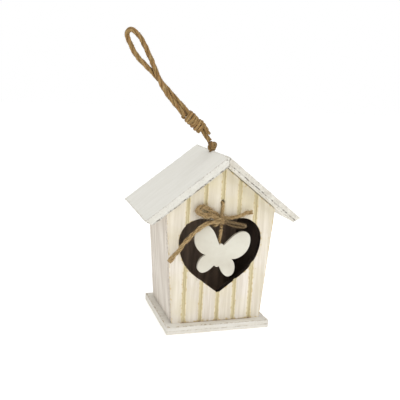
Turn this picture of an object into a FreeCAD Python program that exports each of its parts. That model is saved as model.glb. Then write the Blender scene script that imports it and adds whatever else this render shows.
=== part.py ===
import FreeCAD, Part
import math
import os

V = FreeCAD.Vector

# A small hanging birdhouse of thin plywood: a base board, four walls that lean
# outwards, two roof boards mitred at the ridge, and a grooved front with a heart
# shaped opening.  A butterfly plate hangs in the opening from jute twine tied in a
# bow, and a jute rope with a wrapped noose leaves the ridge through a hole.
# Millimetres.  X runs along the front, +Y to the back, +Z up, and the origin is
# on the ground under the middle of the roof.

# --- boards -----------------------------------------------------------------
board = 5.0                  # base, side walls and roof
panel = 4.0                  # front and back panels
base_width = 69.0
base_front_margin = 6.0      # base in front of the front panel
base_back_margin = 5.0       # base behind the back panel
house_width = 60.0           # over the side walls, at the base
house_depth = 51.5           # over the front and back panels
wall_lean = 4.6              # degrees that each side wall leans outwards
ridge_height = 106.3         # underside of the roof at the ridge
roof_pitch = 37.5            # degrees
roof_slope = 64.0            # top face of a roof board, ridge to eave
eave_undercut = 2.4          # the eave end slopes in under the board by this much
roof_front_overhang = 7.5
roof_depth = 68.0
gable_gap = 0.4              # slit between the gables and the roof

# --- front panel ------------------------------------------------------------
plank_pitch = 11.2
groove_width = 2.0
groove_floor = 1.2           # narrower floor of the routed groove
groove_depth = 1.0
groove_edge_land = 4.0       # no groove closer than this to the panel's edge
twine_hole_height = 83.0
twine_hole_d = 3.0
heart_half_width = 27.3
heart_top = 72.8             # crown of each lobe
heart_cleft = 69.0
heart_widest = 58.8
heart_tip = 23.7
heart_lobe_x = 13.3          # crown of a lobe from the centre line
heart_flank_radius = 29.0

# --- pins -------------------------------------------------------------------
pin_d = 0.8
pin_length = 13.0
pin_cover = 0.4              # filler over each set pin
pin_rows = (15.0, 44.0, 72.0)        # heights of the pins in the panels
pin_stations = (-17.0, 0.0, 17.0)    # along the depth, from the walls' middle
base_panel_pin_x = 20.0

# --- rope hanger ------------------------------------------------------------
rope_d = 3.1
rope_hole_d = 3.8
ridge_knot_r = 3.45
stop_knot_r = 3.2
knot_seat_gap = 0.15
swivel_gap = 0.12            # between pieces that turn on each other
wrap_r = 3.75
wrap_rounding = 0.55
tag_d = 2.0

# --- twine, bow and butterfly -----------------------------------------------
twine_d = 1.8
frayed_d = 2.0               # the right tail, its lay opening up
twine_gap = 0.1              # between the twine and the face that it lies on
bow_knot_r = 2.3
hitch_r = 1.3
hitch_drop = 1.1             # hitch centre below the cleft
hitch_x = -0.55
butterfly_span = 37.7
butterfly_thickness = 2.0
butterfly_tilt = 11.0        # degrees, head to the right
butterfly_drop = 18.9        # its middle below the hitch

# --- places that follow from the sizes ---------------------------------------
pitch = math.radians(roof_pitch)
lean = math.radians(wall_lean)
roof_front_y = -roof_depth / 2
front_y = roof_front_y + roof_front_overhang
back_y = front_y + house_depth
wall_front_y = front_y + panel
wall_back_y = back_y - panel
wall_mid_y = (wall_front_y + wall_back_y) / 2
ridge_top = ridge_height + board / math.cos(pitch)
groove_face_y = front_y + groove_depth


def outer_x(z):
    """Outer face of a side wall at height z."""
    return house_width / 2 + (z - board) * math.tan(lean)


def under_roof(x):
    """Height of the roof's underside at x."""
    return ridge_height - abs(x) * math.tan(pitch)


def eave_meet(inset, gap):
    """Where a line inside the outer wall face meets the roof's underside."""
    slope = math.tan(lean)
    start = house_width / 2 - inset
    top = ridge_height - gap / math.cos(pitch)
    x = (start + (top - board) * slope) / (1 + slope * math.tan(pitch))
    return x, top - x * math.tan(pitch)


def prism(outline, y0, y1):
    """Extrude an outline given as (x, z) points from y0 to y1."""
    points = [V(x, y0, z) for x, z in outline]
    face = Part.Face(Part.makePolygon(points + points[:1]))
    return face.extrude(V(0, y1 - y0, 0))


def mirrored(shape):
    return shape.mirror(V(0, 0, 0), V(1, 0, 0))


def rod(start, direction, length, diameter):
    return Part.makeCylinder(diameter / 2, length, start, direction)


def save(name, shape):
    shape.exportStep(os.path.join("parts", name + ".step"))


def save_group(name, solids):
    save(name, Part.makeCompound(solids))


def heart_outline():
    """The right half as arcs, from the cleft round to the tip."""
    rise = heart_top - heart_widest
    run = heart_half_width - heart_lobe_x
    drop = heart_top - heart_cleft
    crown_radius = (heart_lobe_x ** 2 + drop ** 2) / (2 * drop)
    half_turn = math.asin(heart_lobe_x / crown_radius) / 2
    crown_mid = (heart_lobe_x - crown_radius * math.sin(half_turn),
                 heart_top - crown_radius * (1 - math.cos(half_turn)))
    shoulder_mid = (heart_lobe_x + run * math.sqrt(0.5),
                    heart_widest + rise * math.sqrt(0.5))
    centre_x = heart_half_width - heart_flank_radius
    depth = heart_widest - heart_tip
    reach = math.hypot(centre_x, depth)
    end = math.atan2(-depth, -centre_x) + math.acos(heart_flank_radius / reach)
    flank_mid = (centre_x + heart_flank_radius * math.cos(end / 2),
                 heart_widest + heart_flank_radius * math.sin(end / 2))
    flank_end = (centre_x + heart_flank_radius * math.cos(end),
                 heart_widest + heart_flank_radius * math.sin(end))
    cleft = (0, heart_cleft)
    crown = (heart_lobe_x, heart_top)
    widest = (heart_half_width, heart_widest)
    tip = (0, heart_tip)
    return [(cleft, crown_mid, crown), (crown, shoulder_mid, widest),
            (widest, flank_mid, flank_end), (flank_end, None, tip)]


def heart_cutter():
    """A heart shaped block right through the front panel."""
    y = front_y - 1
    edges = []
    for side in (1, -1):
        for start, mid, end in heart_outline():
            a = V(side * start[0], y, start[1])
            b = V(side * end[0], y, end[1])
            if mid is None:
                edges.append(Part.makeLine(a, b))
            else:
                edges.append(Part.Arc(a, V(side * mid[0], y, mid[1]), b).toShape())
    wire = Part.Wire(Part.__sortEdges__(edges))
    return Part.Face(wire).extrude(V(0, panel + 2, 0))


def groove_cutter(x):
    """One routed groove, narrower at its floor, from base to ridge."""
    mouth = groove_width / 2
    floor = groove_floor / 2
    points = [V(x - mouth, front_y, 0), V(x + mouth, front_y, 0),
              V(x + floor, groove_face_y, 0), V(x - floor, groove_face_y, 0)]
    face = Part.Face(Part.makePolygon(points + points[:1]))
    return face.extrude(V(0, 0, ridge_height))


def groove_places():
    usable = house_width / 2 - groove_edge_land
    count = int(usable // plank_pitch)
    return [k * plank_pitch for k in range(-count, count + 1)]


def panel_blank(y0):
    eave = eave_meet(0, gable_gap)
    apex = ridge_height - gable_gap / math.cos(pitch)
    half = house_width / 2
    outline = [(-half, board), (half, board), eave, (0, apex), (-eave[0], eave[1])]
    return prism(outline, y0, y0 + panel)


def make_base():
    y0 = front_y - base_front_margin
    depth = base_front_margin + house_depth + base_back_margin
    return Part.makeBox(base_width, depth, board, V(-base_width / 2, y0, 0))


def make_side_wall():
    """The right wall, its top bevelled to the roof."""
    thickness = board / math.cos(lean)
    bottom_out = (house_width / 2, board)
    bottom_in = (house_width / 2 - thickness, board)
    outline = [bottom_in, bottom_out, eave_meet(0, 0), eave_meet(thickness, 0)]
    return prism(outline, wall_front_y, wall_back_y)


def make_roof_board():
    """The right roof board, mitred at the ridge, with its half of the rope hole."""
    along = (math.cos(pitch), -math.sin(pitch))
    eave_top = (roof_slope * along[0], ridge_top + roof_slope * along[1])
    eave_low = (eave_top[0] - board * math.sin(pitch) - eave_undercut * along[0],
                eave_top[1] - board * math.cos(pitch) - eave_undercut * along[1])
    outline = [(0, ridge_height), (0, ridge_top), eave_top, eave_low]
    slab = prism(outline, roof_front_y, roof_front_y + roof_depth)
    hole = rod(V(0, 0, ridge_height - board), V(0, 0, 1), 4 * board, rope_hole_d)
    return slab.cut(hole)


def make_front_panel():
    blank = panel_blank(front_y)
    blank = blank.cut(heart_cutter())
    for x in groove_places():
        blank = blank.cut(groove_cutter(x))
    hole = rod(V(0, front_y - 1, twine_hole_height), V(0, 1, 0), panel + 2, twine_hole_d)
    return blank.cut(hole)


def wall_centre_x(z):
    return outer_x(z) - board / math.cos(lean) / 2


def base_pins():
    """Pins set upwards through the base into the walls and panels."""
    x_wall = wall_centre_x(board + pin_length / 3)
    low = pin_cover
    pins = []
    for side in (-1, 1):
        for station in pin_stations:
            pins.append((side * x_wall, wall_mid_y + station))
        pins.append((side * base_panel_pin_x, front_y + panel / 2))
        pins.append((side * base_panel_pin_x, back_y - panel / 2))
    return [rod(V(x, y, low), V(0, 0, 1), pin_length, pin_d) for x, y in pins]


def panel_pins(face_y, inward):
    """Pins set through a panel into the ends of the side walls."""
    pins = []
    for side in (-1, 1):
        for z in pin_rows:
            start = V(side * wall_centre_x(z), face_y + inward * pin_cover, z)
            pins.append(rod(start, V(0, inward, 0), pin_length, pin_d))
    return pins


def roof_pins():
    """Pins set square through the right roof board into the side wall's bevel."""
    outer = eave_meet(0, 0)
    inner = eave_meet(board / math.cos(lean), 0)
    x = (outer[0] + inner[0]) / 2
    z = (outer[1] + inner[1]) / 2
    out = V(math.sin(pitch), 0, math.cos(pitch))
    head = V(x, 0, z) + out * (board - pin_cover)
    pins = []
    for station in pin_stations:
        start = head + V(0, wall_mid_y + station, 0)
        pins.append(rod(start, out * -1, pin_length, pin_d))
    return pins


# --- cords --------------------------------------------------------------------
def rounded_path(name, points):
    """Straight runs joined by tangent arcs; prints the arcs' radii."""
    places = [V(*p) for p in points]
    edges = []
    radii = []
    here = places[0]
    for before, corner, after in zip(places, places[1:], places[2:]):
        came = (corner - before).normalize()
        goes = (after - corner).normalize()
        turn = came.getAngle(goes)
        cut = 0.45 * min((corner - before).Length, (after - corner).Length)
        radius = cut / math.tan(turn / 2)
        inward = (goes - came).normalize()
        middle = corner + inward * (radius / math.cos(turn / 2) - radius)
        start = corner - came * cut
        end = corner + goes * cut
        edges.append(Part.LineSegment(here, start).toShape())
        edges.append(Part.Arc(start, middle, end).toShape())
        radii.append(round(radius, 1))
        here = end
    edges.append(Part.LineSegment(here, places[-1]).toShape())
    print(name, "radii", radii)
    return Part.Wire(edges)


def cord(name, points, diameter, touching=()):
    """A round cord along a route, trimmed where it meets other pieces."""
    path = rounded_path(name, points)
    start = V(*points[0])
    towards = V(*points[1]) - start
    ring = Part.Wire(Part.makeCircle(diameter / 2, start, towards))
    tube = path.makePipeShell([ring], True, False)
    expected = math.pi * diameter ** 2 / 4 * path.Length
    print(name, "length", round(path.Length, 1), "volume ratio",
          round(tube.Volume / expected, 3))
    for piece in touching:
        tube = tube.cut(piece)
    return max(tube.Solids, key=lambda solid: solid.Volume)


# The knot on the ridge sits in the mouth of the rope hole, and the hanger turns
# about its centre.
knot_seat = math.sqrt(ridge_knot_r ** 2 - (rope_hole_d / 2) ** 2)
knot_z = ridge_top + knot_seat + knot_seat_gap
knot_centre = V(0, 0, knot_z)
stop_knot_z = ridge_height - (stop_knot_r + knot_seat_gap) / math.cos(pitch)
neck_lean = math.radians(36.3)
neck_reach = ridge_knot_r + swivel_gap
neck_start = (-neck_reach * math.sin(neck_lean), 0, knot_z + neck_reach * math.cos(neck_lean))
wrap_low = V(-7.3, 0, knot_z + 9.95)
wrap_high = V(-19.9, 0, knot_z + 20.75)


def from_knot(points):
    """Hanger routes are given by their height over the ridge knot."""
    return [(x, y, knot_z + z) for x, y, z in points]


loop_route = from_knot([
    (-17.9, 0, 21.2), (-22.5, 0.1, 26.4), (-27.0, 0.5, 31.0), (-31.8, 1.1, 35.3),
    (-37.4, 1.75, 40.9), (-42.3, 1.2, 45.5), (-46.9, 0.5, 49.3), (-51.3, 0.1, 53.2),
    (-54.4, 0, 57.7), (-57.0, -0.1, 62.8), (-58.5, 0, 66.6), (-56.3, 0.1, 69.3),
    (-52.9, 0, 68.2), (-49.0, -0.1, 64.0), (-46.1, -0.3, 58.6), (-43.2, -0.6, 53.0),
    (-40.5, -1.2, 46.9), (-37.8, -1.75, 41.1), (-34.5, -1.3, 35.0), (-30.3, -0.5, 29.8),
    (-25.7, -0.1, 24.5), (-20.1, 0, 18.3)])
neck_route = [neck_start, (-4.7, 0.15, knot_z + 6.3), (-8.0, 0, knot_z + 10.8)]
tag_route = from_knot([
    (-6.6, -1.2, 12.9), (-4.3, -1.5, 10.4), (-2.5, -1.8, 7.8), (-1.4, -1.9, 5.0)])


def make_wraps():
    """The wound turns of the noose, as the solid of their outer shape."""
    axis = wrap_high - wrap_low
    barrel = Part.makeCylinder(wrap_r, axis.Length, wrap_low, axis)
    return barrel.makeFillet(wrap_rounding, [edge for edge in barrel.Edges
                                             if isinstance(edge.Curve, Part.Circle)])


# The binding twine lies on the front panel, goes back through the twine hole,
# down behind the panel, and forward under the cleft, where the bow ties it.
twine_front_y = front_y - twine_d / 2 - twine_gap
twine_back_y = front_y + panel + twine_d / 2 + twine_gap
bow_y = front_y - bow_knot_r - twine_gap
bow_z = heart_cleft + 3.9
bow_centre = V(-1.2, bow_y, bow_z)
hitch = V(hitch_x, twine_front_y - 0.2, heart_cleft - hitch_drop)
hole_z = twine_hole_height

binding_route = [
    (-0.6, bow_y + 1.0, bow_z + 0.3), (-0.45, twine_front_y, bow_z + 3.2),
    (-0.35, twine_front_y, hole_z - 4),
    (0, twine_front_y, hole_z), (-0.1, twine_back_y, hole_z - 0.1),
    (-0.9, twine_back_y + 0.2, hole_z - 4.1), (-3.0, twine_back_y + 0.1, hole_z - 8.0),
    (-4.9, twine_back_y, heart_cleft + 1.6),
    (-5.2, front_y + panel - 1.2, heart_cleft - 0.9),
    (-4.3, front_y - 0.3, heart_cleft - 0.8), (-2.7, front_y - 1.6, heart_cleft + 1.2),
    (-1.7, bow_y, bow_z)]
drop_reach = hitch_r + swivel_gap
glue_y = hitch.y + 0.15 + butterfly_thickness / 2 + swivel_gap + twine_d / 2
drop_route = [
    (hitch.x, hitch.y, hitch.z - drop_reach),
    (hitch.x, hitch.y + 0.5, hitch.z - 4.7), (hitch.x - 0.1, glue_y - 0.3, hitch.z - 8.2),
    (hitch.x - 0.1, glue_y, hitch.z - 11.7), (hitch.x, glue_y + 0.03, hitch.z - 15.4)]


def from_bow(points):
    """Bow routes are given from the centre of the bow knot."""
    return [(bow_centre.x + x, bow_y + y, bow_z + z) for x, y, z in points]


left_loop_route = from_bow([
    (-0.3, -1.0, 0.2), (-4.4, -1.4, 2.2), (-8.8, -1.6, 2.5), (-13.2, -1.5, 3.0),
    (-16.3, -1.2, 5.3), (-16.1, -0.8, 8.0), (-13.3, -0.4, 8.9), (-9.8, 0, 7.7),
    (-7.4, 0.3, 5.8), (-4.4, 0.5, 3.8), (-0.7, 0.6, 0.9)])
left_tail_route = from_bow([
    (-0.6, -0.4, -0.6), (-5.1, -1.3, -1.1), (-9.9, -1.6, -2.4), (-14.8, -2.4, -4.6),
    (-19.6, -3.0, -8.6), (-23.8, -3.1, -13.6), (-28.0, -2.9, -18.8), (-33.1, -2.1, -25.6)])
right_loop_route = from_bow([
    (0.5, -1.0, -0.7), (4.2, -1.6, -1.1), (7.6, -2.1, -1.3), (11.7, -2.6, -2.1),
    (15.9, -2.8, -3.3), (15.4, -0.9, -5.9), (11.4, -0.4, -5.6), (8.0, -0.1, -5.0),
    (5.0, 0.2, -3.9), (0.4, 0.6, -1.1)])
right_tail_route = from_bow([
    (0.4, -0.1, 0.6), (4.0, 0.1, 0.6), (7.2, -0.2, 0.7), (10.9, -0.9, 1.9),
    (14.9, -1.4, 3.6), (19.6, -1.5, 5.0)])

# Half outlines of the butterfly from head to waist and from waist to tail, as
# shares of its half span, with the body's middle at the origin.
upper_wing = [(0.075, 0.375), (0.25, 0.63), (0.45, 0.86), (0.68, 0.965), (0.87, 0.91),
              (0.985, 0.67), (0.965, 0.38), (0.80, 0.12), (0.62, 0.0), (0.468, -0.035)]
lower_wing = [(0.468, -0.035), (0.60, -0.17), (0.665, -0.38), (0.615, -0.58),
              (0.48, -0.655), (0.33, -0.61), (0.20, -0.49), (0.085, -0.335)]
head_tip = 0.425
tail_tip = -0.385


def make_butterfly():
    unit = butterfly_span / 2
    edges = []
    for side in (1, -1):
        for outline in (upper_wing, lower_wing):
            curve = Part.BSplineCurve()
            curve.interpolate([V(side * x * unit, 0, z * unit) for x, z in outline])
            edges.append(curve.toShape())
    for tip, end in ((head_tip, upper_wing[0]), (tail_tip, lower_wing[-1])):
        left = V(-end[0] * unit, 0, end[1] * unit)
        right = V(end[0] * unit, 0, end[1] * unit)
        edges.append(Part.Arc(left, V(0, 0, tip * unit), right).toShape())
    plate = Part.Face(Part.Wire(Part.__sortEdges__(edges)))
    plate = plate.extrude(V(0, butterfly_thickness, 0))
    plate.rotate(V(0, 0, 0), V(0, 1, 0), butterfly_tilt)
    # It hangs plumb: its centre of mass is straight below the hitch.
    centre = plate.CenterOfMass
    plate.translate(V(hitch.x - centre.x, hitch.y + 0.15 - centre.y,
                      hitch.z - butterfly_drop))
    return plate


def main():
    os.makedirs("parts", exist_ok=True)
    pins = {"base_pins": base_pins(),
            "front_panel_pins": panel_pins(front_y, 1),
            "back_panel_pins": panel_pins(back_y, -1),
            "right_roof_pins": roof_pins(),
            "left_roof_pins": [mirrored(pin) for pin in roof_pins()]}
    all_pins = Part.makeCompound([pin for group in pins.values() for pin in group])
    boards = {"base_board": make_base(),
              "front_panel": make_front_panel(),
              "back_panel": panel_blank(back_y - panel),
              "right_side_panel": make_side_wall(),
              "left_side_panel": mirrored(make_side_wall()),
              "right_roof_panel": make_roof_board(),
              "left_roof_panel": mirrored(make_roof_board())}
    for name, shape in boards.items():
        save(name, shape.cut(all_pins))
    for name, group in pins.items():
        save_group(name, group)

    ridge_knot = Part.makeSphere(ridge_knot_r, knot_centre)
    stop_knot = Part.makeSphere(stop_knot_r, V(0, 0, stop_knot_z))
    strand_top = knot_z - ridge_knot_r - swivel_gap
    strand = rod(V(0, 0, stop_knot_z), V(0, 0, 1), strand_top - stop_knot_z, rope_d)
    wraps = make_wraps()
    save("ridge_knot", ridge_knot)
    save("hanger_stop_knot", stop_knot)
    save("hanger_ridge_strand", strand.cut(stop_knot))
    save("hanger_wraps", wraps)
    save("hanger_neck", cord("hanger_neck", neck_route, rope_d, [wraps]))
    save("hanger_loop", cord("hanger_loop", loop_route, rope_d, [wraps]))
    save("hanger_tag_end", cord("hanger_tag_end", tag_route, tag_d, [wraps]))

    bow_knot = Part.makeSphere(bow_knot_r, bow_centre)
    save("bow_knot", bow_knot)
    save("binding_twine", cord("binding_twine", binding_route, twine_d, [bow_knot]))
    save("bow_left_loop", cord("bow_left_loop", left_loop_route, twine_d, [bow_knot]))
    save("bow_left_tail", cord("bow_left_tail", left_tail_route, twine_d, [bow_knot]))
    save("bow_right_loop", cord("bow_right_loop", right_loop_route, twine_d, [bow_knot]))
    save("bow_right_tail", cord("bow_right_tail", right_tail_route, frayed_d, [bow_knot]))
    save("twine_hitch", Part.makeSphere(hitch_r, hitch))
    save("butterfly_twine", cord("butterfly_twine", drop_route, twine_d))
    save("butterfly", make_butterfly())


main()
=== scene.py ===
import math
import random
from functools import partial

import bmesh
import bpy
import numpy as np
from mathutils import Matrix, Vector, noise


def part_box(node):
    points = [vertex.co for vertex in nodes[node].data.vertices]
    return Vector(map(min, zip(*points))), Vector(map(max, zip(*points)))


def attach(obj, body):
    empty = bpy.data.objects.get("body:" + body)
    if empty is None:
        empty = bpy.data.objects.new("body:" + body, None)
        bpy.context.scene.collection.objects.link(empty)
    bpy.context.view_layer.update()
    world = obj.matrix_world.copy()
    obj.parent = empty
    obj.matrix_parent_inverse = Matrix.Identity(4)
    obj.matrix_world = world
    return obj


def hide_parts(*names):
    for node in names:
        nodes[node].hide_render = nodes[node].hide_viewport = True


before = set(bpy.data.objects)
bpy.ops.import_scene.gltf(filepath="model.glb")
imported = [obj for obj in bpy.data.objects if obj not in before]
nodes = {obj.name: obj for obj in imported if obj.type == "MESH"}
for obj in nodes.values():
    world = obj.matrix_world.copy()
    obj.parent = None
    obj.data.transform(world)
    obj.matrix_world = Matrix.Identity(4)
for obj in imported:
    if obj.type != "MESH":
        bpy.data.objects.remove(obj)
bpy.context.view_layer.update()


# --- Camera and light -----------------------------------------------------------------
# A birdhouse small enough for one hand, seen from a little above and to its
# left, in the flat light of a white tabletop tent.
mm = 0.001


def point_camera():
    turn, rise, roll = (math.radians(a) for a in (17.98, 11.345, 2.972))
    stand = Vector((-0.1234, -0.36025, 0.1552))
    back = Vector((-math.sin(turn) * math.cos(rise), -math.cos(turn) * math.cos(rise),
                   math.sin(rise)))
    right = (-back).cross(Vector((0, 0, 1))).normalized()
    up = back.cross(right)
    side = right * math.cos(roll) + up * math.sin(roll)
    top = up * math.cos(roll) - right * math.sin(roll)
    camera = bpy.data.objects.new("camera", bpy.data.cameras.new("camera"))
    camera.data.lens = 52.45
    camera.data.clip_start = 0.01
    bpy.context.collection.objects.link(camera)
    camera.matrix_world = Matrix((
        (side.x, top.x, back.x, stand.x), (side.y, top.y, back.y, stand.y),
        (side.z, top.z, back.z, stand.z), (0, 0, 0, 1)))
    bpy.context.scene.camera = camera


def soft_box(name, place, aim, size, power):
    lamp = bpy.data.lights.new(name, "AREA")
    lamp.shape = "DISK"
    lamp.size = size
    lamp.energy = power
    holder = bpy.data.objects.new(name, lamp)
    holder.location = place
    holder.rotation_euler = (Vector(aim) - Vector(place)).to_track_quat("-Z", "Y").to_euler()
    bpy.context.collection.objects.link(holder)


def add(tree, kind, sockets=None, **settings):
    """Adds a node. Each socket takes a value, or the output that feeds it."""
    made = tree.nodes.new(kind)
    for name, value in settings.items():
        setattr(made, name, value)
    for key, value in (sockets or {}).items():
        if isinstance(value, bpy.types.NodeSocket):
            tree.links.new(value, made.inputs[key])
        else:
            made.inputs[key].default_value = value
    return made


def ranged(tree, value, low, high, out_low=0.0, out_high=1.0):
    """Stretches the values from low to high over the range from out_low to out_high."""
    return add(tree, "ShaderNodeMapRange", {"Value": value, "From Min": low, "From Max": high,
                                            "To Min": out_low, "To Max": out_high}).outputs[0]


point_camera()
soft_box("key", place=(0.30, -0.75, 0.70), aim=(0, 0, 0.06), size=0.5, power=2.4)
soft_box("fill", place=(-0.85, -0.45, 0.30), aim=(0, 0, 0.06), size=0.6, power=0.6)
soft_box("top", place=(-0.15, 0.15, 0.95), aim=(0, 0, 0.1), size=0.6, power=1.1)

# The tent glows evenly, and is burnt out to plain white where it is looked at.
world = bpy.data.worlds.new("tent")
world.use_nodes = True
tent = world.node_tree
looked_at = add(tent, "ShaderNodeLightPath").outputs["Is Camera Ray"]
glow = ranged(tent, looked_at, 0.0, 1.0, 0.66, 1.0)
tent.nodes["Background"].inputs["Color"].default_value = (1, 1, 1, 1)
tent.links.new(glow, tent.nodes["Background"].inputs["Strength"])
bpy.context.scene.world = world
bpy.context.scene.view_settings.view_transform = "Standard"

floor_reach, floor_gap = 3.0, 0.4 * mm
floor_corners = [(x * floor_reach, y * floor_reach, 0)
                 for x, y in ((-1, -1), (1, -1), (1, 1), (-1, 1))]
floor_mesh = bpy.data.meshes.new("floor")
floor_mesh.from_pydata(floor_corners, [], [(0, 1, 2, 3)])
floor = bpy.data.objects.new("floor", floor_mesh)
floor.location.z = -floor_gap
bpy.context.collection.objects.link(floor)
white_sheet = bpy.data.materials.new("white_sheet")
white_sheet.use_nodes = True
sheet_shader = white_sheet.node_tree.nodes["Principled BSDF"]
sheet_shader.inputs["Base Color"].default_value = (0.97, 0.97, 0.97, 1)
sheet_shader.inputs["Roughness"].default_value = 0.9
sheet_shader.inputs["Specular IOR Level"].default_value = 0.1
sheet_shader.inputs["Emission Color"].default_value = (1, 1, 1, 1)
sheet_shader.inputs["Emission Strength"].default_value = 0.42
floor.data.materials.append(white_sheet)


# --- Rope hanger ----------------------------------------------------------------------
# A 3 mm rope of three jute strands comes up through the ridge, is knotted on top,
# and ends in a noose: a loop whose end is wound five times round both its legs.
# Loose fibres stand off it all over.
def srgb(red, green, blue):
    """A paint chip's 0-255 values as the linear colour that the nodes take."""
    def linear(value):
        value = value / 255
        return value / 12.92 if value <= 0.04045 else ((value + 0.055) / 1.055) ** 2.4
    return (linear(red), linear(green), linear(blue), 1)


def maths(tree, operation, *values):
    """A Math node's output. Each value is a number, or the output that feeds it."""
    return add(tree, "ShaderNodeMath", dict(enumerate(values)), operation=operation).outputs[0]


def blend(tree, share, first, second):
    """Mixes two colours by a mask."""
    return add(tree, "ShaderNodeMix", {0: share, 6: first, 7: second}, data_type="RGBA").outputs[2]


def mottled(tree, place, scale, detail, roughness=0.5):
    """Smooth random patches, from 0 to 1."""
    return add(tree, "ShaderNodeTexNoise", {"Vector": place, "Scale": scale, "Detail": detail,
                                            "Roughness": roughness}).outputs[0]


def jute_material(name, dark, mid, light, patch_colour):
    made = bpy.data.materials.new(name)
    made.use_nodes = True
    tree = made.node_tree
    shader = tree.nodes["Principled BSDF"]
    lie = add(tree, "ShaderNodeAttribute", attribute_name="fibre")
    lean = add(tree, "ShaderNodeVectorMath", {0: lie.outputs["Vector"], 1: (1.0, 1.0, 0.10)},
               operation="MULTIPLY")
    fine = mottled(tree, lean.outputs[0], 5.5, 5, 0.62)
    broad = mottled(tree, lie.outputs["Vector"], 0.35, 3)
    ramp = add(tree, "ShaderNodeValToRGB", {"Fac": fine})
    ramp.color_ramp.elements[0].position = 0.30
    ramp.color_ramp.elements[0].color = srgb(*dark)
    ramp.color_ramp.elements[1].position = 0.72
    ramp.color_ramp.elements[1].color = srgb(*light)
    middle = ramp.color_ramp.elements.new(0.5)
    middle.color = srgb(*mid)
    patch = ranged(tree, broad, 0.35, 0.7, 0.0, 0.45)
    tone = blend(tree, patch, ramp.outputs["Color"], srgb(*patch_colour))
    # Painted shade: the grooves between the strands are coloured darker.
    valley = add(tree, "ShaderNodeAttribute", attribute_name="groove")
    shade = ranged(tree, valley.outputs["Fac"], 0.0, 1.0, 0.0, 0.6)
    groove_shaded = blend(tree, shade, tone, srgb(86, 64, 38))
    # Darkness darkens a cord: a darker tone on the hanger, its knot and turns, and painted shade on
    # the bow's right loop.
    darkness_read = add(tree, "ShaderNodeAttribute", attribute_name="darkness")
    darker_tone_and_shade = blend(tree, darkness_read.outputs["Fac"], groove_shaded, srgb(52, 38, 26))
    rough = ranged(tree, fine, 0.0, 1.0, 0.82, 1.0)
    bump = add(tree, "ShaderNodeBump", {"Height": fine, "Strength": 0.6, "Distance": 0.3 * mm})
    tree.links.new(darker_tone_and_shade, shader.inputs["Base Color"])
    tree.links.new(rough, shader.inputs["Roughness"])
    tree.links.new(bump.outputs[0], shader.inputs["Normal"])
    shader.inputs["Specular IOR Level"].default_value = 0.15
    shader.inputs["Sheen Weight"].default_value = 0.08
    shader.inputs["Sheen Roughness"].default_value = 0.6
    return made


def mark(tree, geometry, name, value, kind="FLOAT"):
    """The geometry with a value kept under that name at each of its points."""
    return add(tree, "GeometryNodeStoreNamedAttribute", {
        "Geometry": geometry, "Name": name, "Value": value}, data_type=kind,
        domain="POINT").outputs[0]


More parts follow.
